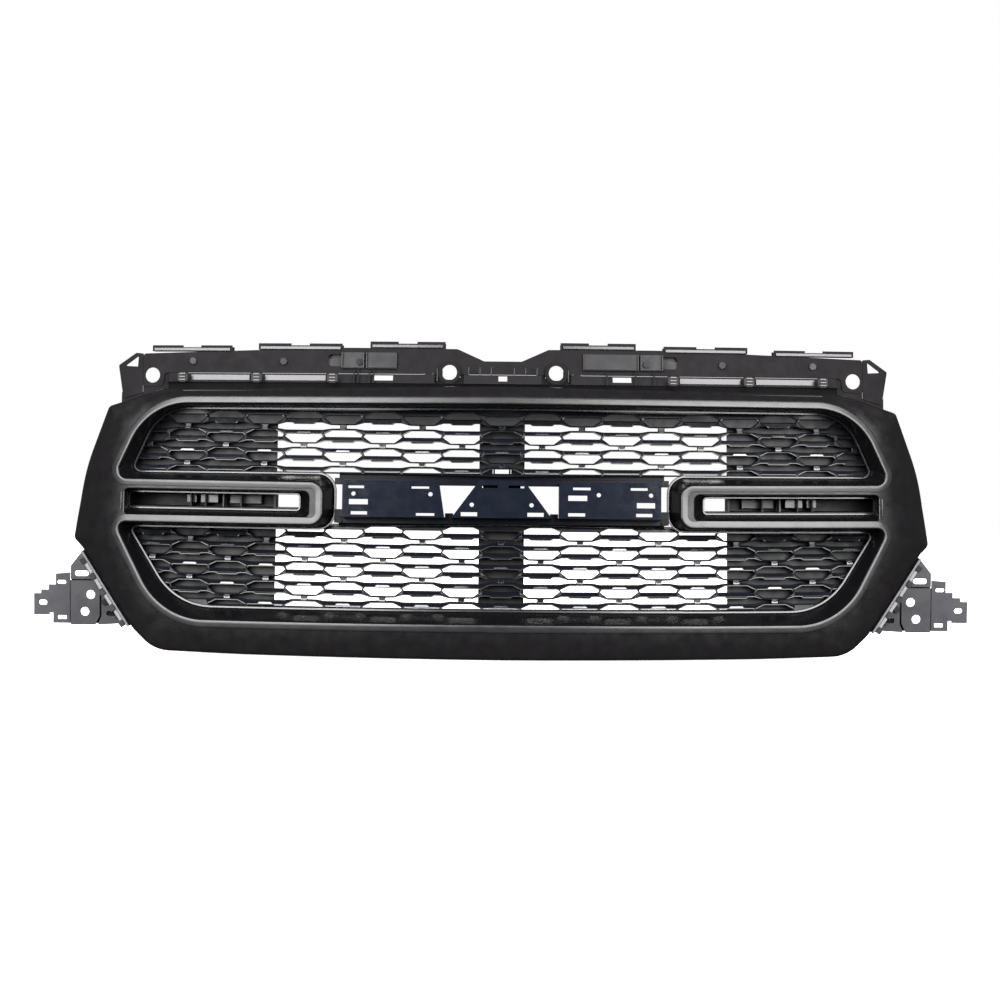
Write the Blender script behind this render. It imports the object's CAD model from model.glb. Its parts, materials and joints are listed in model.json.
import json
import math

import bmesh
import bpy
import numpy as np
from mathutils import Matrix, Quaternion, Vector, geometry


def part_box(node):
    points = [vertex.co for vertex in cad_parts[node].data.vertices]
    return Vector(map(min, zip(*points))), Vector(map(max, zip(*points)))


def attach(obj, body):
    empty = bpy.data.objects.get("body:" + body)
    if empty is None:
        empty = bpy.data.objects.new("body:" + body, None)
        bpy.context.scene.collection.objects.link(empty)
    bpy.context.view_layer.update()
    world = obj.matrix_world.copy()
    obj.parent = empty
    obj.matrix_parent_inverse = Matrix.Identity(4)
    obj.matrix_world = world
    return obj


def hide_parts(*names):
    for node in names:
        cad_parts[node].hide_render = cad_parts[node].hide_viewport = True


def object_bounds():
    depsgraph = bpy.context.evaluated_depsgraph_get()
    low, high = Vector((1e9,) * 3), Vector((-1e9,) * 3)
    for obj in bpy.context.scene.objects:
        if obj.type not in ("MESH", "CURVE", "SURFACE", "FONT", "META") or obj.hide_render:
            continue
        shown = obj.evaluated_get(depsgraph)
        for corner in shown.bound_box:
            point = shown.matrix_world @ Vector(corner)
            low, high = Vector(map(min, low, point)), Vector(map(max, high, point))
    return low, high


# Looks for the front grille.  Everything is in metres in the CAD's frame: +X to the viewer's
# right, +Z up, the front faces -Y.  Depth is counted back from the curved, leaning face.

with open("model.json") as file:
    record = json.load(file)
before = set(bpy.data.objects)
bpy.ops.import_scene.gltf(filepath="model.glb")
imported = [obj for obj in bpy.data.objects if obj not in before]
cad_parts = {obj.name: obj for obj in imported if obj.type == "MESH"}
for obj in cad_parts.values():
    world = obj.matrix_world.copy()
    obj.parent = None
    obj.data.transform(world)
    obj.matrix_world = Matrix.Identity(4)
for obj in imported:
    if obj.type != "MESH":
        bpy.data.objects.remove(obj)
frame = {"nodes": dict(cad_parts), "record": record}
CAD_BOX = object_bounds()

MM = 0.001
LEAN = 0.15
PLAN_RADIUS = 2300 * MM
END_START = 560 * MM
END_RADIUS = 300 * MM
CAD_MESH_DEPTH = 47.5 * MM
MESH_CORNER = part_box("upper_mesh")[0]
FACE_Y = MESH_CORNER.y - LEAN * MESH_CORNER.z - CAD_MESH_DEPTH


# ---------------------------------------------------------------- the curved face
def plan(x):
    """How far the face has curved back at x, seen from above."""
    if abs(x) <= END_START:
        return PLAN_RADIUS - math.sqrt(PLAN_RADIUS ** 2 - x ** 2)
    slope = math.asin(END_START / PLAN_RADIUS)
    along = abs(x) - END_START + END_RADIUS * math.sin(slope)
    centre = plan(END_START) + END_RADIUS * math.cos(slope)
    return centre - math.sqrt(END_RADIUS ** 2 - along ** 2)


def face_point(x, z, depth):
    """The point at x and z this deep behind the front face, never ahead of the CAD's front."""
    y = max(plan(x) + LEAN * z + depth + FACE_Y, CAD_BOX[0].y)
    return Vector((x, y, z))


# ---------------------------------------------------------------- outlines in x and z
def mirrored(right_half):
    """Complete an outline of (x, z, radius) corners in millimetres; the half runs down the right."""
    return right_half + [(-x, z, radius) for x, z, radius in reversed(right_half) if x > 0]


# Each corner is (x, z, radius) in millimetres.
SHELL_OUTLINE = mirrored([
    (0, 401, 3000), (512, 394, 120), (574, 374, 14), (599, 366, 9), (634, 272, 300),
    (652, 165, 9), (637, 152, 6), (550, 34, 30), (516, 3.5, 60), (380, 1.5, 900), (0, 0, 6000)])
CREST = mirrored([
    (0, 373, 3000), (531, 370, 95), (583, 259, 12), (263, 258, 20), (263, 192.5, 20),
    (581, 192, 10), (504, 53, 110), (0, 54, 6000)])
LIP = mirrored([
    (0, 365, 3000), (520, 362.5, 70), (562.5, 269.5, 8), (247, 270, 28), (247, 184.5, 28),
    (564, 184, 6), (488, 69, 100), (0, 70, 6000)])
SLOT = [(284, 243.5, 9), (567, 243.5, 6), (567, 204, 6), (284, 204, 9)]
WINDOW = [(302, 236.5, 4), (563, 236.5, 4), (563, 215, 4), (302, 215, 4)]


LONG_RADIUS = 200.0
STRAIGHT_ANGLE = math.radians(89.9)


def corner_arcs(outline):
    """Start, end, centre and radius of the arc at each corner; a sharp corner has no centre."""
    found = []
    count = len(outline)
    for index, (x, z, radius) in enumerate(outline):
        here = Vector((x, z))
        before = Vector(outline[index - 1][:2]) - here
        after = Vector(outline[(index + 1) % count][:2]) - here
        half_angle = before.angle(after) / 2
        if radius == 0 or half_angle > STRAIGHT_ANGLE:
            found.append((here, here, None, 0.0))
            continue
        reach = radius / math.tan(half_angle)
        before.normalize()
        after.normalize()
        centre = here + (before + after).normalized() * (radius / math.sin(half_angle))
        found.append((here + before * reach, here + after * reach, centre, radius))
    return found


def sample(corners, like=None, arc_step=3.0, line_step=14.0):
    """Points (x, z) along an outline with rounded corners, in metres.

    With like, each stretch takes as many points as the same stretch of that outline.
    """
    own = corner_arcs(corners)
    guide = corner_arcs(like or corners)
    points = []
    for index, (start, end, centre, radius) in enumerate(own):
        guide_start, guide_end, _, guide_radius = guide[index]
        if centre is None:
            points.append(start)
        else:
            step = arc_step if guide_radius < LONG_RADIUS else line_step
            chord = (guide_end - guide_start).length
            pieces = max(4, int(chord * 1.1 / step))
            first = start - centre
            turn = first.angle_signed(end - centre)
            for piece in range(pieces + 1):
                angle = -turn * piece / pieces
                spun = Vector((first.x * math.cos(angle) - first.y * math.sin(angle),
                               first.x * math.sin(angle) + first.y * math.cos(angle)))
                points.append(centre + spun)
        after = own[(index + 1) % len(own)][0]
        guide_after = guide[(index + 1) % len(guide)][0]
        pieces = max(1, int((guide_after - guide_end).length / line_step))
        for piece in range(1, pieces):
            points.append(end.lerp(after, piece / pieces))
    return [point * MM for point in points]


def grown(points, amount):
    """A sampled outline moved outwards by an amount in metres."""
    moved = []
    for index, here in enumerate(points):
        along = points[(index + 1) % len(points)] - points[index - 1]
        along.normalize()
        moved.append(here + Vector((-along.y, along.x)) * amount)
    return moved


def mirror_x(points):
    """A sampled outline mirrored to the left, still running the same way round."""
    return [Vector((-point.x, point.y)) for point in reversed(points)]


# ---------------------------------------------------------------- mesh building
def finish_mesh(name, mesh, material, sharp_angle=35.0):
    """Make the object, shade it smooth up to an angle, and let it ride on the grille."""
    piece = bpy.data.objects.new(name, mesh)
    bpy.context.scene.collection.objects.link(piece)
    mesh.validate()
    mesh.polygons.foreach_set("use_smooth", [True] * len(mesh.polygons))
    mesh.set_sharp_from_angle(angle=math.radians(sharp_angle))
    mesh.materials.append(material)
    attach(piece, "root")
    return piece


def swept_mesh(name, loops, closed=True):
    """Quads between matching loops of 3D points; closed joins the last loop to the first."""
    count = len(loops[0])
    vertices = [point for loop in loops for point in loop]
    faces = []
    last = len(loops) if closed else len(loops) - 1
    for row in range(last):
        here = row * count
        there = ((row + 1) % len(loops)) * count
        for index in range(count):
            after = (index + 1) % count
            faces.append((here + index, here + after, there + after, there + index))
    mesh = bpy.data.meshes.new(name)
    mesh.from_pydata(vertices, [], faces)
    tidy = bmesh.new()
    tidy.from_mesh(mesh)
    bmesh.ops.recalc_face_normals(tidy, faces=tidy.faces)
    tidy.to_mesh(mesh)
    tidy.free()
    return mesh


def inside(points, loop):
    """Which of the points (an N by 2 array) lie inside a closed loop."""
    corners = np.array([(p.x, p.y) for p in loop])
    result = np.zeros(len(points), bool)
    for one, two in zip(corners, np.roll(corners, -1, axis=0)):
        crosses = (one[1] > points[:, 1]) != (two[1] > points[:, 1])
        if one[1] == two[1]:
            continue
        at = (two[0] - one[0]) * (points[:, 1] - one[1]) / (two[1] - one[1]) + one[0]
        result ^= crosses & (points[:, 0] < at)
    return result


def distance_to(points, loop):
    """Each point's distance to a closed loop, and the index of the nearest corner."""
    corners = np.array([(p.x, p.y) for p in loop])
    best = np.full(len(points), np.inf)
    nearest = np.zeros(len(points), int)
    for index, (one, two) in enumerate(zip(corners, np.roll(corners, -1, axis=0))):
        span = two - one
        share = np.clip(((points - one) @ span) / max(span @ span, 1e-12), 0, 1)
        gap = np.linalg.norm(points - one - share[:, None] * span, axis=1)
        closer = gap < best
        best[closer] = gap[closer]
        nearest[closer] = index
    return best, nearest


def filled_region(outer, holes, extra_loops=(), spacing=None):
    """Triangles of the flat region inside outer and outside the holes, with inner points."""
    loops = [outer] + list(holes) + list(extra_loops)
    vertices, edges = [], []
    for loop in loops:
        first = len(vertices)
        vertices += [Vector((p.x, p.y)) for p in loop]
        edges += [(first + i, first + (i + 1) % len(loop)) for i in range(len(loop))]
    if spacing:
        low = np.min([(p.x, p.y) for p in outer], axis=0)
        high = np.max([(p.x, p.y) for p in outer], axis=0)
        grid = np.array([(x, z) for x in np.arange(low[0], high[0], spacing)
                         for z in np.arange(low[1], high[1], spacing)])
        keep = inside(grid, outer)
        for hole in holes:
            keep &= ~inside(grid, hole)
        grid = grid[keep]
        for loop in loops:
            gap, _ = distance_to(grid, loop)
            grid = grid[gap > spacing * 0.6]
        vertices += [Vector(point) for point in grid]
    made = geometry.delaunay_2d_cdt(vertices, edges, [], 0, 1e-7)
    flat = np.array([(v.x, v.y) for v in made[0]])
    triangles = np.array([face[:3] for face in made[2]])
    centres = flat[triangles].mean(axis=1)
    keep = inside(centres, outer)
    for hole in holes:
        keep &= ~inside(centres, hole)
    return flat, triangles[keep]


# ---------------------------------------------------------------- materials
CLOUD = {"Scale": 9.0, "Detail": 5.0}
DUST = {"Scale": 60.0, "Detail": 6.0}
DUST_RANGE = (0.3, 0.7)
GRAIN_DETAIL = 3.0
LEAST_ROUGHNESS = 0.02


def noise(tree, place, settings):
    """A noise texture in the object's own coordinates."""
    node = tree.nodes.new("ShaderNodeTexNoise")
    for socket, value in settings.items():
        node.inputs[socket].default_value = value
    tree.links.new(place.outputs["Object"], node.inputs["Vector"])
    return node.outputs["Fac"]


def plastic(name, colour, roughness, grain_scale, grain_depth, mottle=0.12, coat=0.0,
            coat_roughness=0.1, specular=0.5, rough_spread=0.08, streak=0.0):
    """A moulded plastic: mottled colour, uneven roughness and a fine moulded grain."""
    material = bpy.data.materials.new(name)
    material.use_nodes = True
    nodes = material.node_tree.nodes
    links = material.node_tree.links
    shader = nodes["Principled BSDF"]
    shader.inputs["Specular IOR Level"].default_value = specular
    shader.inputs["Coat Weight"].default_value = coat
    shader.inputs["Coat Roughness"].default_value = coat_roughness
    place = nodes.new("ShaderNodeTexCoord")
    cloud = noise(material.node_tree, place, {**CLOUD, "Distortion": streak})
    tint = nodes.new("ShaderNodeMix")
    tint.data_type = "RGBA"
    tint.inputs["A"].default_value = (*[c * (1 - mottle) for c in colour], 1)
    tint.inputs["B"].default_value = (*[c * (1 + mottle) for c in colour], 1)
    links.new(cloud, tint.inputs["Factor"])
    links.new(tint.outputs["Result"], shader.inputs["Base Color"])
    dust = noise(material.node_tree, place, DUST)
    spread = nodes.new("ShaderNodeMapRange")
    spread.inputs["From Min"].default_value = DUST_RANGE[0]
    spread.inputs["From Max"].default_value = DUST_RANGE[1]
    spread.inputs["To Min"].default_value = max(LEAST_ROUGHNESS, roughness - rough_spread)
    spread.inputs["To Max"].default_value = roughness + rough_spread
    links.new(dust, spread.inputs["Value"])
    links.new(spread.outputs["Result"], shader.inputs["Roughness"])
    grain = noise(material.node_tree, place, {"Scale": grain_scale, "Detail": GRAIN_DETAIL})
    bump = nodes.new("ShaderNodeBump")
    bump.inputs["Strength"].default_value = 1.0
    bump.inputs["Distance"].default_value = grain_depth
    links.new(grain, bump.inputs["Height"])
    links.new(bump.outputs["Normal"], shader.inputs["Normal"])
    return material


# Each plastic: name, colour, roughness, grain scale and grain depth.
SATIN = plastic("satin_black", (0.0038, 0.0034, 0.0038), 0.31, 900, 0.00006, specular=0.20)
BAND = plastic("band_black", (0.0060, 0.0054, 0.0064), 0.32, 900, 0.00003, specular=0.47,
               rough_spread=0.04)
GLOSS = plastic("bevel_black", (0.0022, 0.0021, 0.0024), 0.26, 700, 0.000008, specular=0.20,
                rough_spread=0.03)
BEAD = plastic("bead_black", (0.0130, 0.0128, 0.0140), 0.24, 700, 0.000004, specular=0.55,
               rough_spread=0.03)
MESH = plastic("mesh_black", (0.0022, 0.0025, 0.0040), 0.24, 500, 0.00001, rough_spread=0.04,
               specular=0.18)
TAB = plastic("tab_black", (0.0090, 0.0105, 0.0150), 0.20, 500, 0.00001, rough_spread=0.04,
              specular=1.0)
PAD = plastic("pad_blue_black", (0.0016, 0.0027, 0.0066), 0.16, 300, 0.000006, specular=0.40,
              rough_spread=0.03)
RAIL = plastic("rail_blue_black", (0.0010, 0.0014, 0.0030), 0.30, 300, 0.000006, specular=0.07,
               rough_spread=0.03)
BACKING = plastic("backing_black", (0.0055, 0.0052, 0.0062), 0.50, 500, 0.00006, specular=0.22)
PANEL = plastic("panel_grained", (0.0062, 0.0054, 0.0060), 0.60, 1400, 0.00008, specular=0.06)
SHELF = plastic("shelf_smooth", (0.0100, 0.0095, 0.0105), 0.34, 700, 0.00002, specular=0.25)
GLINT = plastic("glint_black", (0.0250, 0.0240, 0.0270), 0.26, 700, 0.00001, specular=0.42,
                rough_spread=0.03)
EDGE = plastic("bar_edge_black", (0.0090, 0.0095, 0.0120), 0.24, 500, 0.00001, specular=0.34,
               rough_spread=0.03)
GREY = plastic("bracket_grey", (0.0260, 0.0250, 0.0300), 0.42, 500, 0.00006, mottle=0.35,
               streak=1.6)
FOAM = plastic("seal_foam", (0.0200, 0.0200, 0.0210), 0.92, 350, 0.0006)
STRIP = plastic("strip_pale", (0.1300, 0.1230, 0.1300), 0.60, 400, 0.0001, specular=0.3)
CLIP = plastic("clip_black", (0.0050, 0.0048, 0.0055), 0.35, 600, 0.00004, specular=0.10)


def metal(name, colour, roughness):
    """A plated steel with fine scratches."""
    material = plastic(name, colour, roughness, 260, 0.00004, mottle=0.2)
    material.node_tree.nodes["Principled BSDF"].inputs["Metallic"].default_value = 1.0
    return material


SCREW = metal("screw_zinc", (0.030, 0.030, 0.033), 0.38)
NUT = metal("nut_steel", (0.060, 0.058, 0.055), 0.42)

SLOT_LOOKS = {
    "shell_satin": SATIN, "ring_gloss": GLOSS, "mesh_gloss": MESH, "carrier_gloss": PAD,
    "backing_dark": BACKING, "panel_textured": PANEL, "shelf_smooth": SHELF,
    "bracket_grey": GREY, "seal_foam": FOAM, "strip_pale": STRIP, "clip_black": CLIP,
    "fastener_zinc": SCREW, "nut_steel": NUT}


NODE_LOOKS = {"emblem_carrier": RAIL}
EDGE_BEVEL = (0.5 * MM, 2)
PAD_BEVEL = (1.3 * MM, 5)
SHARP_EDGE = math.radians(38)


def add_bevel(piece, width, segments):
    """Round a piece's sharp edges with a modifier."""
    bevel = piece.modifiers.new("edge", "BEVEL")
    bevel.width = width
    bevel.segments = segments
    bevel.limit_method = "ANGLE"
    bevel.angle_limit = SHARP_EDGE


def dress_cad_nodes():
    """Give each CAD node the look of its material slot, and a small bevel."""
    slots = {part["node"]: part["material_slot"] for part in frame["record"]["subparts"]}
    for name, node in frame["nodes"].items():
        node.data.materials.clear()
        node.data.materials.append(NODE_LOOKS.get(name, SLOT_LOOKS[slots[name]]))
        add_bevel(node, *(PAD_BEVEL if name.startswith("emblem_pad") else EDGE_BEVEL))


# ---------------------------------------------------------------- shell
# Depths of the shell's face in millimetres.  A knee is a share of the way from crest to edge.
CREST_DEPTH = 1.0
TOP_STEP, TOP_ROLL, TOP_KNEE, TOP_POWER = 2.9, 14.0, 0.40, 1.1
SIDE_ROLL, SIDE_POWER = 13.0, 1.8
LOW_SLOPE, LOW_ROLL, LOW_KNEE, LOW_POWER = 2.5, 9.0, 0.33, 1.3
FACING_POWER = 1.5
SMOOTH_COUNT = 9
# Where the flat arms lie, in metres.
ARM_Z = (0.186, 0.262)
ARM_END, ARM_FADE = 0.600, 0.050
CREST_WIDTH = 9.5 * MM
SLOT_MARGIN = 1.0 * MM
FACE_RINGS = (7 * MM, 11 * MM)
FACE_SPACING = 9 * MM
RIM_INSET = 4.0
# How far inside the outline, and how far behind the face, each row of the rolled rim lies.
RIM_PROFILE = ((RIM_INSET, 0.0), (2.4, 0.8), (1.0, 2.2), (0.2, 4.4), (0.0, 7.0), (0.0, 34.0),
               (3.0, 34.0), (3.0, 8.0))
WELD = 0.02 * MM


def shell_depth(flat, crest, outline):
    """Depth of the shell's face at each (x, z): a roll at the top, flat arms, turned-in sides."""
    near_crest, index = distance_to(flat, crest)
    near_edge, _ = distance_to(flat, outline)
    corners = np.array([(p.x, p.y) for p in crest])
    along = np.roll(corners, -1, axis=0) - np.roll(corners, 1, axis=0)
    along /= np.linalg.norm(along, axis=1)[:, None]
    up = along[:, 0]
    reach = SMOOTH_COUNT // 2
    kernel = np.ones(SMOOTH_COUNT) / SMOOTH_COUNT
    up = np.convolve(np.concatenate([up[-reach:], up, up[:reach]]), kernel, mode="valid")
    up = up[index]
    share = near_crest / (near_crest + near_edge + 1e-6)
    past_top = np.clip((share - TOP_KNEE) / (1 - TOP_KNEE), 0, 1)
    past_low = np.clip((share - LOW_KNEE) / (1 - LOW_KNEE), 0, 1)
    top = TOP_STEP + TOP_ROLL * past_top ** TOP_POWER
    side = CREST_DEPTH + SIDE_ROLL * share ** SIDE_POWER
    slope = LOW_SLOPE * np.clip(share / LOW_KNEE, 0, 1)
    low = CREST_DEPTH + slope + LOW_ROLL * past_low ** LOW_POWER
    weight_top = np.clip(up, 0, 1) ** FACING_POWER
    weight_low = np.clip(-up, 0, 1) ** FACING_POWER
    depth = weight_top * top + weight_low * low + (1 - weight_top - weight_low) * side
    on_arm = (flat[:, 1] > ARM_Z[0]) & (flat[:, 1] < ARM_Z[1])
    arm_share = np.clip((ARM_END - np.abs(flat[:, 0])) / ARM_FADE, 0, 1) * on_arm
    depth = depth * (1 - arm_share) + CREST_DEPTH * arm_share
    return depth * MM


def build_shell():
    """The satin shell: its face with rolled edges, and the flange behind its outer edge."""
    outline = sample(SHELL_OUTLINE, line_step=10)
    crest = sample(CREST, line_step=10)
    face_outer = grown(outline, -RIM_INSET * MM)
    inner = grown(crest, CREST_WIDTH)
    right_slot = grown(sample(SLOT, arc_step=1.5), SLOT_MARGIN)
    holes = [inner, right_slot, mirror_x(right_slot)]
    rings = [grown(outline, -amount) for amount in FACE_RINGS]
    flat, triangles = filled_region(face_outer, holes, rings, spacing=FACE_SPACING)
    depth = shell_depth(flat, crest, outline)
    vertices = [face_point(x, z, d) for (x, z), d in zip(flat, depth)]
    mesh = bpy.data.meshes.new("shell_face")
    mesh.from_pydata(vertices, [], triangles.tolist())
    shape = bmesh.new()
    shape.from_mesh(mesh)
    rim_depth = shell_depth(np.array([(p.x, p.y) for p in face_outer]), crest, outline)
    rows = []
    for inset, behind in RIM_PROFILE:
        loop = grown(outline, -inset * MM)
        rows.append([face_point(p.x, p.y, d + behind * MM) for p, d in zip(loop, rim_depth)])
    rim = swept_mesh("shell_rim", rows, closed=False)
    shape.from_mesh(rim)
    bmesh.ops.remove_doubles(shape, verts=shape.verts, dist=WELD)
    bmesh.ops.recalc_face_normals(shape, faces=shape.faces)
    front = [face for face in shape.faces if abs(face.normal.z) < 0.5]
    if sum(face.normal.y * face.calc_area() for face in front) > 0:
        bmesh.ops.reverse_faces(shape, faces=shape.faces)
    shape.to_mesh(mesh)
    shape.free()
    piece = finish_mesh("shell_skin", mesh, SATIN, 50)
    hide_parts("outer_shell", "shell_edge_flange")
    return piece


# The band's depths and widths are in millimetres; the upper half starts at this height in metres.
BAND_DEPTH = 1.0
BAND_TOP_DEPTH = 1.2
UPPER_HALF = 0.30
BAND_WIDTH = 12.0
BAND_SHARES = ((6.0, 0.33), (9.0, 0.68), (11.0, 0.94), (BAND_WIDTH, 1.25))
BEZEL_BACK = 9
LIP_BACK = 50
BAND_ROWS = range(10, 17)
BEAD_ROWS = range(1, 6)


def band_depths(crest):
    """How deep the band's outer edge lies at each crest point: deep on top, shallow elsewhere."""
    depths = []
    for index, here in enumerate(crest):
        along = crest[(index + 1) % len(crest)] - crest[index - 1]
        along.normalize()
        top = max(0.0, along.x) if here.y > UPPER_HALF else 0.0
        depths.append(BAND_DEPTH + BAND_TOP_DEPTH * top ** FACING_POWER)
    return depths


def build_opening_ring():
    """The crest band, the gloss bevel that runs back from it, and the bright lip bead."""
    crest = sample(CREST, arc_step=2.0, line_step=10)
    lip = sample(LIP, like=CREST, arc_step=2.0, line_step=10)
    bands = band_depths(crest)
    # Each loop of the section: an outline, how far out from it, and its depth, in millimetres.
    section = [(lip, 0.0, LIP_BACK), (lip, 0.0, 43.2), (lip, 0.1, 41.4), (lip, 0.3, 41.05),
               (lip, 2.6, 40.90), (lip, 2.9, 41.4), (lip, 3.0, 43.6),
               (crest, -0.6, 4.2), (crest, 0.0, 2.6), (crest, 0.8, 1.2), (crest, 2.0, 0.35),
               (crest, 3.2, 0.0)]
    loops = [[face_point(p.x, p.y, depth * MM) for p in grown(base, out * MM)]
             for base, out, depth in section]
    for out, share in BAND_SHARES:
        ring = grown(crest, out * MM)
        loops.append([face_point(p.x, p.y, band * share * MM) for p, band in zip(ring, bands)])
    for base, out, depth in ((crest, BAND_WIDTH, BEZEL_BACK), (crest, BAND_WIDTH / 2, BEZEL_BACK),
                             (lip, 5.0, LIP_BACK)):
        ring = grown(base, out * MM)
        loops.append([face_point(p.x, p.y, depth * MM) for p in ring])
    mesh = swept_mesh("opening_bezel", loops)
    piece = finish_mesh("opening_bezel", mesh, GLOSS, 50)
    count = len(crest)
    piece.data.materials.append(BAND)
    piece.data.materials.append(BEAD)
    for polygon in piece.data.polygons:
        row = polygon.index // count
        polygon.material_index = 1 if row in BAND_ROWS else 2 if row in BEAD_ROWS else 0
    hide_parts("opening_ring")
    return piece


SLOT_BEAD_ROWS = (1, 2, 5, 6, 7)


def build_slot_ring(side, flip):
    """The recess round an arm's slot, with a fine bead at the window."""
    outer = sample(SLOT, arc_step=1.2)
    inner = sample(WINDOW, like=SLOT, arc_step=1.2)
    section = [(outer, 1.5, 4.0), (outer, 1.2, 1.6), (outer, 0.8, 1.1), (outer, 0.0, 1.6),
               (outer, -0.5, 3.0), (inner, 2.9, 30.0), (inner, 2.3, 28.55), (inner, 0.4, 28.68),
               (inner, 0.1, 29.2), (inner, 0.0, 30.0), (inner, 0.0, 34.5), (inner, 3.0, 34.5)]
    loops = []
    for base, out, depth in section:
        ring = grown(base, out * MM)
        if flip:
            ring = mirror_x(ring)
        loops.append([face_point(p.x, p.y, depth * MM) for p in ring])
    mesh = swept_mesh("slot_bezel_" + side, loops)
    piece = finish_mesh("slot_bezel_" + side, mesh, GLOSS, 40)
    piece.data.materials.append(BEAD)
    count = len(outer)
    for polygon in piece.data.polygons:
        polygon.material_index = 1 if polygon.index // count in SLOT_BEAD_ROWS else 0
    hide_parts("slot_ring_" + side)
    return piece


# ---------------------------------------------------------------- meshes
# Depths, widths and heights are in millimetres.  A chain is a level run of cells.
CONNECTOR = 4.7
FRONT_DEPTH = 48.6
BACK_DEPTH = 61.0
CLOSED_FLOOR = 52.5
BAR_ROUND = 1.5
BEAD_REACH = 0.35
BEAD_DEPTH, BEAD_LIFT = 0.75, 0.2
WALL_START = 1.3
BAR_LEAN = 0.9
LIT_SHARE = 0.25
MESH_BORDER = 3.5
LEAST_CELL = 14
LEAST_STEP = 0.3
COLUMNS = 10
# The first chain's height, the pitch between chains, their number, and the period along one.
UPPER_CHAINS = (360.4, 27.9, 4, 119.5)
LOWER_CHAINS = (190.4, 28.35, 5, 117.5)


def cell_outlines(column, row_top, upright, period):
    """The broad cell, then the gap if there is one, at one column of a chain (millimetres)."""
    half = period / 2
    neck = half - CONNECTOR
    broad_down = [(16.5, 0.0), (29.0, -5.9), (27.3, -9.8)]
    broad_up = [(25.8, -5.6), (29.4, -9.2), (17.6, -18.0)]
    gap = [(15.0, -18.6), (18.0, -16.3), (28.0, -16.3), (41.0, -19.9), (neck, -20.2),
           (neck, -24.9), (41.0, -25.1), (28.0, -27.1)]
    outlines = []
    for right in ([broad_down, gap] if upright else [broad_up]):
        points = right + [(-across, down) for across, down in reversed(right)]
        outlines.append([Vector((column * half + across, row_top + down))
                         for across, down in points])
    return outlines


def softened(points, radius=0.8, pieces=2):
    """Round a polygon's corners a little."""
    result = []
    for index, here in enumerate(points):
        before = (points[index - 1] - here)
        after = (points[(index + 1) % len(points)] - here)
        reach = min(radius, before.length * 0.35, after.length * 0.35)
        start = here + before.normalized() * reach
        end = here + after.normalized() * reach
        for piece in range(pieces + 1):
            share = piece / pieces
            result.append(start.lerp(here, share).lerp(here.lerp(end, share), share))
    return result


def clip_polygon(points, boundary):
    """The part of a polygon inside a convex boundary that runs clockwise."""
    result = list(points)
    for index, one in enumerate(boundary):
        edge = boundary[(index + 1) % len(boundary)] - one
        kept = []
        for place, here in enumerate(result):
            after = result[(place + 1) % len(result)]
            here_in = edge.x * (here.y - one.y) - edge.y * (here.x - one.x) <= 1e-9
            after_in = edge.x * (after.y - one.y) - edge.y * (after.x - one.x) <= 1e-9
            if here_in:
                kept.append(here)
            if here_in != after_in:
                span = after - here
                across = edge.x * span.y - edge.y * span.x
                share = (edge.y * (here.x - one.x) - edge.x * (here.y - one.y)) / across
                kept.append(here + span * share)
        result = kept
        if len(result) < 3:
            return []
    return result


def polygon_area(points):
    """Signed area; negative when the polygon runs clockwise."""
    total = 0.0
    for index, here in enumerate(points):
        after = points[(index + 1) % len(points)]
        total += here.x * after.y - after.x * here.y
    return total / 2


def mesh_cells(window, first_top, pitch, rows, period, closed_first):
    """The open cells and the closed, recessed ones, clipped and softened, in metres."""
    opened, closed = [], []
    for row in range(rows):
        for column in range(-COLUMNS, COLUMNS + 1):
            upright = (row + column) % 2 == 1
            for place, cell in enumerate(cell_outlines(
                    column, first_top - row * pitch, upright, period)):
                cut = clip_polygon(cell, window)
                if len(cut) < 3 or abs(polygon_area(cut)) < LEAST_CELL:
                    continue
                cut = [p for i, p in enumerate(cut) if (p - cut[i - 1]).length > LEAST_STEP]
                if polygon_area(cut) > 0:
                    cut.reverse()
                shut = closed_first and row == 0 and place == 0
                (closed if shut else opened).append([p * MM for p in softened(cut)])
    return opened, closed


def top_edge_shares(hole):
    """For each point of a clockwise loop, 1 on its level top edge and 0 on its sides and bottom."""
    shares = []
    for index in range(len(hole)):
        along = hole[(index + 1) % len(hole)] - hole[index - 1]
        along.normalize()
        shares.append(max(0.0, along.x) ** 2)
    return shares


def level_loop(points, depth):
    """A sampled outline as 3D points, all this many millimetres deep."""
    return [face_point(p.x, p.y, depth * MM) for p in points]


def bar_front(name, outer, fronts, shares):
    """The bars' front face, set back a little along each cell's top edge."""
    set_back = {}
    for front, share in zip(fronts, shares):
        for here, top in zip(front, share):
            set_back[(round(here.x, 6), round(here.y, 6))] = BAR_LEAN * top
    flat, triangles = filled_region(outer, fronts)
    vertices = []
    for x, z in flat:
        back = set_back.get((round(x, 6), round(z, 6)), 0.0)
        vertices.append(face_point(x, z, (FRONT_DEPTH + back) * MM))
    mesh = bpy.data.meshes.new(name)
    mesh.from_pydata(vertices, [], triangles.tolist())
    return mesh


def cell_wall(hole, front, share, end_depth):
    """The wall of one cell, which starts with the bead that catches light on its top edge."""
    bead = grown(hole, BEAD_REACH * MM)
    rings = [[face_point(p.x, p.y, (FRONT_DEPTH + BAR_LEAN * t) * MM)
              for p, t in zip(front, share)],
             [face_point(p.x, p.y, (FRONT_DEPTH + BEAD_DEPTH - BEAD_LIFT * t) * MM)
              for p, t in zip(bead, share)],
             level_loop(hole, FRONT_DEPTH + WALL_START),
             level_loop(hole, end_depth)]
    wall = swept_mesh("wall", rings, closed=False)
    for polygon in wall.polygons[:len(hole)]:
        after = (polygon.index + 1) % len(hole)
        lit = min(share[polygon.index], share[after]) > LIT_SHARE
        polygon.material_index = 1 if lit else 0
    return wall


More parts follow.
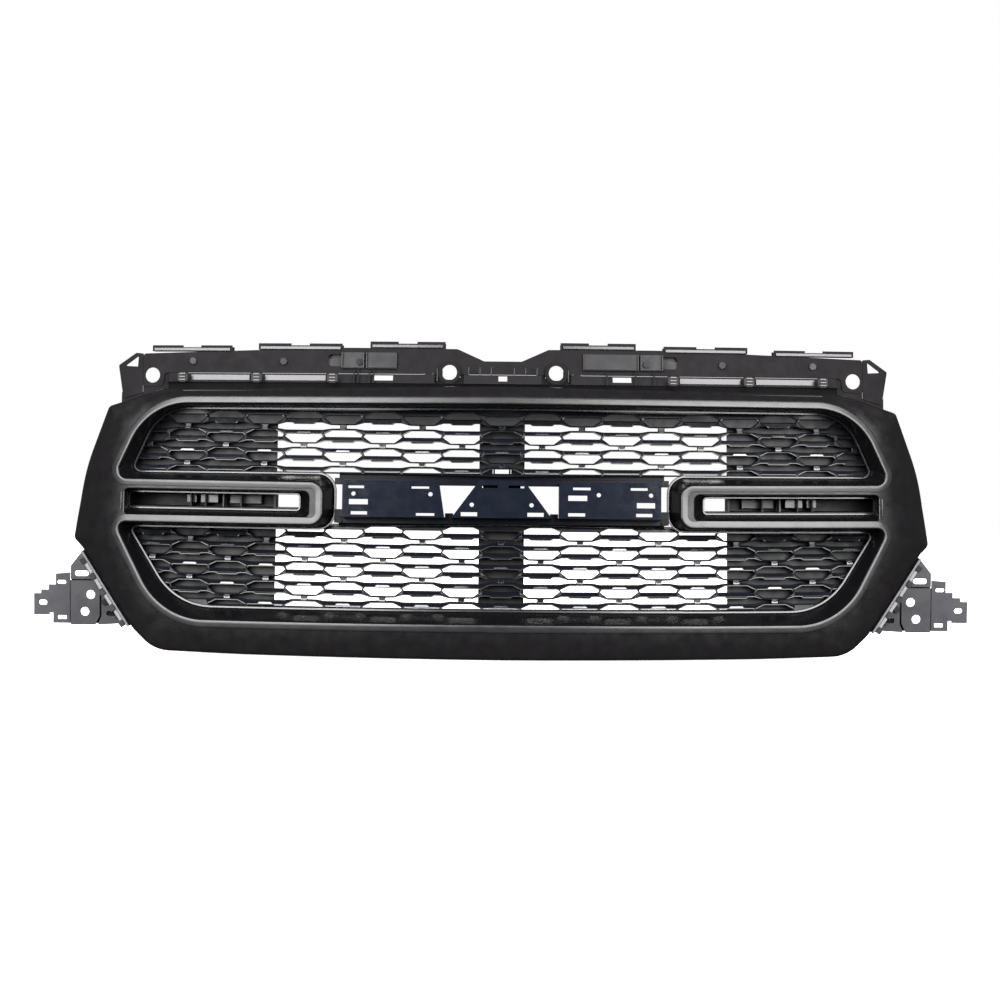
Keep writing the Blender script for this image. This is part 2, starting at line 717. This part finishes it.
def add_mesh(shape, mesh):
    """Copy a mesh into a bmesh and drop the mesh."""
    shape.from_mesh(mesh)
    bpy.data.meshes.remove(mesh)


def build_mesh_insert(name, node, first_top, pitch, rows, period, window, closed_first):
    """One mesh: dark bars with a raised bead along each bar's lower edge."""
    opened, closed = mesh_cells(window, first_top, pitch, rows, period, closed_first)
    holes = opened + closed
    fronts = [grown(hole, BAR_ROUND * MM) for hole in holes]
    shares = [top_edge_shares(hole) for hole in holes]
    outer = [p * MM for p in window_outline(window, MESH_BORDER)]
    mesh = bar_front(name, outer, fronts, shares)
    shape = bmesh.new()
    shape.from_mesh(mesh)
    for place, (hole, front, share) in enumerate(zip(holes, fronts, shares)):
        end_depth = BACK_DEPTH if place < len(opened) else CLOSED_FLOOR
        add_mesh(shape, cell_wall(hole, front, share, end_depth))
    for hole in closed:
        floor = bpy.data.meshes.new("floor")
        floor.from_pydata(level_loop(hole, CLOSED_FLOOR), [], [tuple(range(len(hole)))])
        floor.polygons[0].material_index = 2
        add_mesh(shape, floor)
    sides = [level_loop(outer, FRONT_DEPTH), level_loop(outer, BACK_DEPTH)]
    add_mesh(shape, swept_mesh("edge", sides, closed=False))
    back_flat, back_triangles = filled_region(outer, opened)
    back = bpy.data.meshes.new("back")
    back.from_pydata([face_point(x, z, BACK_DEPTH * MM) for x, z in back_flat], [],
                     back_triangles.tolist())
    add_mesh(shape, back)
    bmesh.ops.remove_doubles(shape, verts=shape.verts, dist=WELD)
    bmesh.ops.recalc_face_normals(shape, faces=shape.faces)
    shape.to_mesh(mesh)
    shape.free()
    piece = finish_mesh(name, mesh, MESH, 14)
    piece.data.materials.append(EDGE)
    piece.data.materials.append(BACKING)
    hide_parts(node)
    return piece


def wedge(shape, outline, top_z, depth_top, depth_low, back):
    """Add a small wedge whose front leans back towards its top; the outline is in millimetres."""
    low_z = min(z for _, z in outline)
    fronts, backs = [], []
    for x, z in outline:
        share = (z - low_z) / (top_z - low_z)
        depth = depth_low + (depth_top - depth_low) * share
        fronts.append(shape.verts.new(face_point(x * MM, z * MM, depth * MM)))
        backs.append(shape.verts.new(face_point(x * MM, z * MM, back * MM)))
    shape.faces.new(fronts)
    for index, one in enumerate(fronts):
        after = (index + 1) % len(fronts)
        shape.faces.new((one, backs[index], backs[after], fronts[after]))
    shape.faces.new(list(reversed(backs)))


# How far below its chain's height a tab starts, its half widths below and above, its height,
# and how far it stands proud of the bars.
SNAP_TAB = (32.3, 11.4, 8.6, 2.7, 0.4)
JOINT_PAD = (24.6, 4.4, 4.2, 2.5, 0.3)
TAB_MARGIN = 4.0
TAB_SINK = 0.5
TAB_BACK = 4


def build_mesh_tabs(name, first_top, pitch, rows, period, window):
    """The bright snap tabs on the bars and the small pads on the joints between cells."""
    half = period / 2
    shape = bmesh.new()
    for row in range(rows):
        for column in range(-COLUMNS, COLUMNS + 1):
            if (row + column) % 2 == 0:
                continue
            x = column * half
            spots = [(x, SNAP_TAB)]
            if column == -COLUMNS:
                spots.append((x - half, JOINT_PAD))
            spots.append((x + half, JOINT_PAD))
            for middle, (drop, broad, narrow, height, proud) in spots:
                low = first_top - row * pitch - drop
                centre = np.array([(middle, low + height / 2)])
                gap, _ = distance_to(centre, window)
                if not inside(centre, window)[0] or gap[0] < TAB_MARGIN:
                    continue
                outline = [(middle - broad, low), (middle - narrow, low + height),
                           (middle + narrow, low + height), (middle + broad, low)]
                wedge(shape, outline, low + height, FRONT_DEPTH + TAB_SINK, FRONT_DEPTH - proud,
                      FRONT_DEPTH + TAB_BACK)
    mesh = bpy.data.meshes.new(name)
    bmesh.ops.recalc_face_normals(shape, faces=shape.faces)
    shape.to_mesh(mesh)
    shape.free()
    return finish_mesh(name, mesh, TAB, 20)


def window_outline(window, amount):
    """A convex outline pushed outwards (it runs clockwise, in millimetres)."""
    moved = []
    for index, here in enumerate(window):
        before = here - window[index - 1]
        after = window[(index + 1) % len(window)] - here
        normal = Vector((-before.y, before.x)).normalized() + Vector((-after.y, after.x)).normalized()
        normal.normalize()
        moved.append(here + normal * amount)
    return moved


def arc(centre, radius, start, end, pieces=8):
    """Points along an arc between two angles in degrees."""
    points = []
    for piece in range(pieces + 1):
        angle = math.radians(start + (end - start) * piece / pieces)
        points.append((centre[0] + radius * math.cos(angle), centre[1] + radius * math.sin(angle)))
    return points


def mesh_windows():
    """The convex regions that the two meshes' openings may fill, in millimetres."""
    upper_right = [(0, 366)] + arc((478, 296), 69, 90, 27) + [(566, 270.5), (0, 269.5)]
    lower_right = [(0, 191), (571, 187)] + arc((440, 168), 98, -33, -90) + [(0, 70)]
    windows = []
    for right in (upper_right, lower_right):
        whole = right + [(-x, z) for x, z in reversed(right) if x > 0]
        windows.append([Vector(point) for point in whole])
    return windows


# ---------------------------------------------------------------- small details
def follow_block(shape, x_range, z_range, depth_low, depth_top, thickness, pieces=1):
    """Add a plate to a bmesh: it follows the face, and may lean by its own two depths."""
    x_from, x_to = x_range
    z_low, z_top = z_range
    rows = []
    for step in range(pieces + 1):
        x = (x_from + (x_to - x_from) * step / pieces) * MM
        corners = [(z_low, depth_low), (z_top, depth_top),
                   (z_top, depth_top + thickness), (z_low, depth_low + thickness)]
        rows.append([shape.verts.new(face_point(x, z * MM, depth * MM)) for z, depth in corners])
    for one, two in zip(rows[:-1], rows[1:]):
        for index in range(4):
            after = (index + 1) % 4
            shape.faces.new((one[index], one[after], two[after], two[index]))
    shape.faces.new(rows[0])
    shape.faces.new(list(reversed(rows[-1])))


def detail_piece(name, blocks, material, bevel=0.4):
    """One object made of follow_blocks: each is x range, z range, two depths and thickness."""
    shape = bmesh.new()
    for x_range, z_range, depth_low, depth_top, thickness in blocks:
        pieces = max(1, int(abs(x_range[1] - x_range[0]) / 20))
        follow_block(shape, x_range, z_range, depth_low, depth_top, thickness, pieces)
    bmesh.ops.recalc_face_normals(shape, faces=shape.faces)
    mesh = bpy.data.meshes.new(name)
    shape.to_mesh(mesh)
    shape.free()
    piece = finish_mesh(name, mesh, material, 30)
    if bevel:
        add_bevel(piece, bevel * MM, EDGE_BEVEL[1])
    return piece


def both_sides(blocks):
    """The blocks as given, and mirrored to the left."""
    mirror = [((-x_to, -x_from), z, low, top, thick) for (x_from, x_to), z, low, top, thick in blocks]
    return blocks + mirror


# A block is an x range, a z range, its front's depth at the foot and at the top, and a thickness.
LEDGE = ((-507, 507), (392, 404.6), 30, 24, 2.5)
END_FILLER_DEPTH, END_FILLER_THICK = 37.5, 2.5
END_FILLERS = (((500, 549), (374, 402)), ((549, 583), (366, 388)))
FILLER_DEPTH, FILLER_THICK = 38.5, 2.0
FILLERS = (((496, 523), (402, 425)), ((50, 63.5), (402, 424)), ((90, 107), (402, 424)),
           ((60, 93), (402, 410.2)), ((60, 66.3), (402, 413.5)))
GLINT_Z, GLINT_FOOT, GLINT_TOP = (406, 415), 25.0, 25.9
GLINTS = ((265, 357), (381, 471))
CLIP_SPOTS = (254, 369, 483)
CLIP_BARS = (406.5, 411.0, 415.5)
CLIP_BAR_HALF, CLIP_BAR_HEIGHT = 4.5, 1.4
MARK_DEPTH, MARK_THICK = 35.2, 1.2
MARKS = (((16.6, 18.0), (406, 429)), ((33.5, 34.7), (417, 429)), ((50.5, 51.7), (417, 429)),
         ((97.5, 98.7), (408, 426)), ((104, 105.2), (408, 420)), ((117, 118.2), (408, 420)))
RIB_SPOTS = (-222, -216, -193, -199, 198, 226, 155)
RIB_HALF = 1.2
POCKETS = ((-242, -208), (-205, -159), (120, 203), (206, 240))
POCKET_FOOT, POCKET_TOP, POCKET_WALL = 426, 450, 1.4
POCKET_SILL = POCKET_FOOT + 1.6
HOOK_TRAYS = (((90, 196), 457.8), ((244, 366), 454.4), ((413, 532), 451.6))
TRAY_HEIGHT = 4.2


def level_blocks(ranges, depth, thickness):
    """Blocks whose fronts follow the face at one depth."""
    return [(x_range, z_range, depth, depth, thickness) for x_range, z_range in ranges]


def build_channel():
    """The dark ledge over the shell, and what closes the channel's ends and gaps."""
    detail_piece("channel_ledge", [LEDGE], GLOSS)
    ends = both_sides(level_blocks(END_FILLERS, END_FILLER_DEPTH, END_FILLER_THICK))
    detail_piece("end_fillers", ends, PANEL)
    fillers = both_sides(level_blocks(FILLERS, FILLER_DEPTH, FILLER_THICK))
    detail_piece("channel_fillers", fillers, PANEL)
    glints = [(x_range, GLINT_Z, GLINT_FOOT, GLINT_TOP, 1.0) for x_range in GLINTS]
    detail_piece("channel_glints", both_sides(glints), GLINT, 0.0)


def build_channel_clips():
    """The dark clips in the channel, each with three thin bars."""
    bodies, bars = [], []
    for x in CLIP_SPOTS:
        bodies.append(((x - 9, x + 9), (404.0, 418.5), 12.5, 13.5, 3.0))
        bodies.append(((x - 6, x + 6), (402.5, 420.0), 12.7, 13.7, 3.0))
        for z in CLIP_BARS:
            bars.append(((x - CLIP_BAR_HALF, x + CLIP_BAR_HALF), (z, z + CLIP_BAR_HEIGHT),
                         11.6, 11.7, 1.5))
    detail_piece("clip_bodies", both_sides(bodies), CLIP, 1.4)
    detail_piece("clip_bars", both_sides(bars), GLINT, 0.0)


def build_panel_marks():
    """The thin ribs and shallow hollows moulded into the middle of the panel and the channel."""
    marks = both_sides(level_blocks(MARKS, MARK_DEPTH, MARK_THICK))
    detail_piece("moulded_ribs", marks, GLINT, 0.0)
    hollows = both_sides([((36, 49.5), (419, 427.5), 35.6, 35.6, 0.8),
                          ((106, 116), (410, 418), 35.0, 35.0, 1.0)])
    detail_piece("moulded_hollows", hollows, GLOSS, 0.8)
    ribs = [((x - RIB_HALF, x + RIB_HALF), (404.5, 423), 13.0, 31.0, 3.0) for x in RIB_SPOTS]
    detail_piece("channel_ribs", ribs, SHELF, 0.3)


def build_pockets():
    """The framed pockets at the top of the panel: backs, frames and floors."""
    backs = both_sides([((214, 266), (POCKET_FOOT, POCKET_TOP), 42.5, 42.5, 2.0)])
    detail_piece("pocket_backs", backs, BACKING, 0.0)
    frames, floors = [], []
    for x_from, x_to in POCKETS:
        side_z = (POCKET_FOOT + 1, POCKET_TOP)
        frames += [((x_from, x_from + POCKET_WALL), side_z, 32.0, 32.0, 4.5),
                   ((x_to - POCKET_WALL, x_to), side_z, 32.0, 32.0, 4.5),
                   ((x_from, x_to), (POCKET_FOOT, POCKET_SILL), 31.8, 32.6, 4.5)]
        floors.append(((x_from + POCKET_WALL, x_to - POCKET_WALL), (POCKET_SILL, POCKET_TOP),
                       35.4, 35.6, 0.8))
    detail_piece("pocket_frames", frames, SHELF, 0.3)
    detail_piece("pocket_floors", floors, BACKING, 0.0)


def build_hook_trays():
    """The lit trays inside the hook frames on the top edge."""
    trays = [(x_range, (z, z + TRAY_HEIGHT), 33.2, 33.7, 1.5) for x_range, z in HOOK_TRAYS]
    detail_piece("hook_trays", both_sides(trays), GLINT, 0.3)


SEAL_DEPTH, SEAL_THICK = 58, 2.0
SEALS = (((-244, 244), (261, 270.3)), ((-244, 244), (191.5, 198)))


def build_carrier_seals():
    """Dark strips that close the gaps between the carrier's rails and the two meshes."""
    seals = level_blocks(SEALS, SEAL_DEPTH, SEAL_THICK)
    detail_piece("carrier_seals", seals, RAIL, 0.3)


def build_slot_details():
    """Clips and ribs on the back wall of each arm's duct, and a step at the arm's outer end."""
    clips = both_sides([((463, 479), (221, 234), 60.6, 60.0, 8),
                        ((429, 457), (221, 234), 58.6, 58.0, 8)])
    detail_piece("duct_clips", clips, GLINT, 1.0)
    bars = both_sides([((363, 413), (220, 234), 68, 68, 5), ((419, 422), (213, 237), 52, 52, 20)])
    detail_piece("duct_bars", bars, GREY, 1.0)
    steps = both_sides([((571, 572.6), (211, 238), 0.3, 0.3, 5)])
    detail_piece("arm_steps", steps, BEAD, 0.6)


# Straps behind the bracket plates: x range and z range, in millimetres.
STRAPS = (((664, 670.8), (28, 95)), ((626, 668.8), (91, 101)), ((616, 629), (30, 90)),
          ((620, 634), (28, 42)), ((592, 614), (38, 50)))
STRAP_Y, STRAP_THICK = 96.2, 2.6


def build_bracket_fills():
    """Dark straps behind each side bracket, which close the seams between its plates."""
    shape = bmesh.new()
    for sign in (-1, 1):
        for x_range, z_range in STRAPS:
            middle = Vector((sign * sum(x_range) / 2, STRAP_Y, sum(z_range) / 2)) * MM
            extent = Vector((x_range[1] - x_range[0], STRAP_THICK, z_range[1] - z_range[0])) * MM
            place = Matrix.Translation(middle) @ Matrix.Diagonal((*extent, 1))
            bmesh.ops.create_cube(shape, size=1, matrix=place)
    mesh = bpy.data.meshes.new("bracket_fills")
    shape.to_mesh(mesh)
    shape.free()
    return finish_mesh("bracket_fills", mesh, CLIP, 30)


# ---------------------------------------------------------------- stage, light and camera
FLOOR_SIZE, FLOOR_GAP = (14, 9), 0.001
WALL_SIZE, WALL_PLACE = (16, 9), (0, 3.2, 3.0)
WORLD_LIGHT = 0.20
# Each softbox: its place, width and height, power in watts, and the point it is aimed at.
FRONT_BOX = ((1.20, -1.63, 1.26), (1.6, 2.0), 150, (0.35, 0, 0.28))
BACK_BOX = ((0, 1.6, 1.9), (2.6, 0.8), 14, (0, 0, 0.3))
REAR_BOX = ((0, 1.9, 1.7), (2.4, 1.0), 45, (0, 0, 0.25))
CAMERA_DISTANCE = 2.8
CAMERA_AIM = Vector((-0.0025, CAD_BOX[0].y, 0.235))
CAMERA_RISE = math.radians(2.5)
CAMERA_ROLL = math.radians(0.55)
VIEW_WIDTH = 1.450
SENSOR_WIDTH = 36.0


def emitter(name, colour, strength):
    """A plain emission material for the backdrop."""
    material = bpy.data.materials.new(name)
    material.use_nodes = True
    nodes = material.node_tree.nodes
    nodes.clear()
    glow = nodes.new("ShaderNodeEmission")
    glow.inputs["Color"].default_value = (*colour, 1)
    glow.inputs["Strength"].default_value = strength
    output = nodes.new("ShaderNodeOutputMaterial")
    material.node_tree.links.new(glow.outputs["Emission"], output.inputs["Surface"])
    return material


def stage_plane(name, extent, centre, turn, material):
    """A flat stage piece that the camera sees but that the grille doesn't mirror."""
    mesh = bpy.data.meshes.new(name)
    half_x, half_y = extent[0] / 2, extent[1] / 2
    mesh.from_pydata([(-half_x, -half_y, 0), (half_x, -half_y, 0), (half_x, half_y, 0),
                      (-half_x, half_y, 0)], [], [(0, 1, 2, 3)])
    plane = bpy.data.objects.new(name, mesh)
    plane.location = centre
    plane.rotation_euler = turn
    plane.visible_glossy = False
    plane.visible_diffuse = False
    mesh.materials.append(material)
    bpy.context.scene.collection.objects.link(plane)


def build_stage():
    """A pale floor and backdrop, and a dim world."""
    floor = bpy.data.materials.new("pale_floor")
    floor.use_nodes = True
    shader = floor.node_tree.nodes["Principled BSDF"]
    shader.inputs["Base Color"].default_value = (0.9, 0.9, 0.9, 1)
    shader.inputs["Roughness"].default_value = 0.8
    shader.inputs["Emission Color"].default_value = (1, 1, 1, 1)
    shader.inputs["Emission Strength"].default_value = 1.0
    floor_z = CAD_BOX[0].z - FLOOR_GAP
    stage_plane("floor", FLOOR_SIZE, (0, 0, floor_z), (0, 0, 0), floor)
    stage_plane("backdrop", WALL_SIZE, WALL_PLACE, (math.radians(90), 0, 0),
                emitter("backdrop_white", (1, 1, 1), 1.0))
    world = bpy.data.worlds.new("studio")
    bpy.context.scene.world = world
    world.use_nodes = True
    background = world.node_tree.nodes["Background"]
    background.inputs["Color"].default_value = (1, 1, 1, 1)
    background.inputs["Strength"].default_value = WORLD_LIGHT


def softbox(name, place, extent, power, aim):
    """A rectangular area light aimed at a point."""
    data = bpy.data.lights.new(name, "AREA")
    data.shape = "RECTANGLE"
    data.size, data.size_y = extent
    data.energy = power
    lamp = bpy.data.objects.new(name, data)
    lamp.location = place
    lamp.rotation_euler = (Vector(aim) - Vector(place)).to_track_quat("-Z", "Y").to_euler()
    bpy.context.scene.collection.objects.link(lamp)


def build_lights():
    """Two softboxes above the front with a gap between them, and two dimmer ones behind."""
    (front_x, front_y, front_z), extent, power, (aim_x, aim_y, aim_z) = FRONT_BOX
    for sign in (-1, 1):
        softbox("softbox_%d" % sign, (sign * front_x, front_y, front_z), extent, power,
                (sign * aim_x, aim_y, aim_z))
    softbox("back_softbox", *BACK_BOX)
    softbox("rear_softbox", *REAR_BOX)


def build_camera():
    """A long view from straight ahead and a little above, slightly rolled."""
    data = bpy.data.cameras.new("camera")
    data.sensor_width = SENSOR_WIDTH
    data.lens = SENSOR_WIDTH * CAMERA_DISTANCE / VIEW_WIDTH
    camera = bpy.data.objects.new("camera", data)
    back = Vector((0, -math.cos(CAMERA_RISE), math.sin(CAMERA_RISE))) * CAMERA_DISTANCE
    camera.location = CAMERA_AIM + back
    look = (-back).to_track_quat("-Z", "Y")
    camera.rotation_mode = "QUATERNION"
    camera.rotation_quaternion = look @ Quaternion((0, 0, 1), CAMERA_ROLL)
    bpy.context.scene.collection.objects.link(camera)
    bpy.context.scene.camera = camera


dress_cad_nodes()
build_shell()
build_opening_ring()
build_slot_ring("right", False)
build_slot_ring("left", True)
UPPER_WINDOW, LOWER_WINDOW = mesh_windows()
for part, window, chains, shut in (
        ("upper_mesh", UPPER_WINDOW, UPPER_CHAINS, True),
        ("lower_mesh", LOWER_WINDOW, LOWER_CHAINS, False)):
    build_mesh_insert(part + "_skin", part, *chains, window, shut)
    build_mesh_tabs(part + "_tabs", *chains, window)
build_channel()
build_channel_clips()
build_panel_marks()
build_pockets()
build_hook_trays()
build_carrier_seals()
build_slot_details()
build_bracket_fills()
build_stage()
build_lights()
build_camera()
bpy.context.scene.view_settings.view_transform = "Standard"
